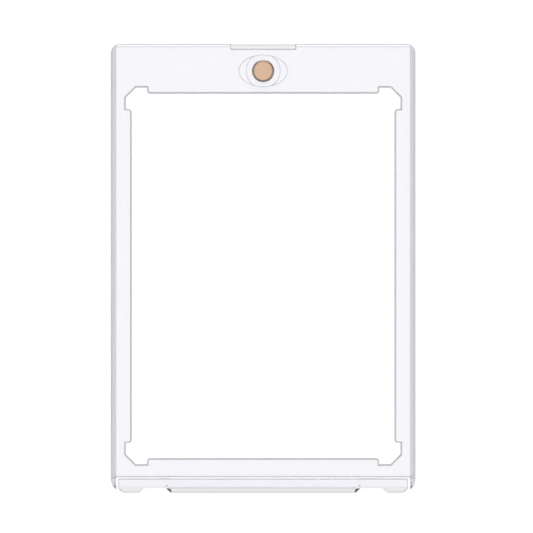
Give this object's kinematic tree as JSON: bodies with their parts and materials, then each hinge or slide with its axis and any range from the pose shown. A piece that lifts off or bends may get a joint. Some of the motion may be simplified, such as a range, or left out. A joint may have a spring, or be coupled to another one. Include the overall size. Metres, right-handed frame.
{
  "type": "magnetic card holder",
  "caption": "Clear two-shell magnetic holder for a trading card, with a hooked tilting cover, a card recess with relieved corners and a fingernail notch.",
  "frame": {"origin": "middle of the outline, on the flat back face", "axes": "+X across the holder to the right, +Y towards the top edge with the fingernail notch, +Z out through the front cover"},
  "size_m": [0.076, 0.112, 0.006],
  "materials": {
    "clear_plastic": "clear, polished moulded polystyrene with a fine satin on the frame faces",
    "magnet_plating": "gold-coloured plating, satin"
  },
  "bodies": {
    "base": {"back_shell": "clear_plastic", "back_magnet": "magnet_plating"},
    "cover": {"front_cover": "clear_plastic", "cover_magnet": "magnet_plating"}
  },
  "joints": [
    {"name": "cover_tilt", "type": "hinge", "parent": "base", "child": "cover", "pos_m": [0, -0.05225, 0.006], "axis": [1, 0, 0], "range_deg": [0, 45]}
  ]
}
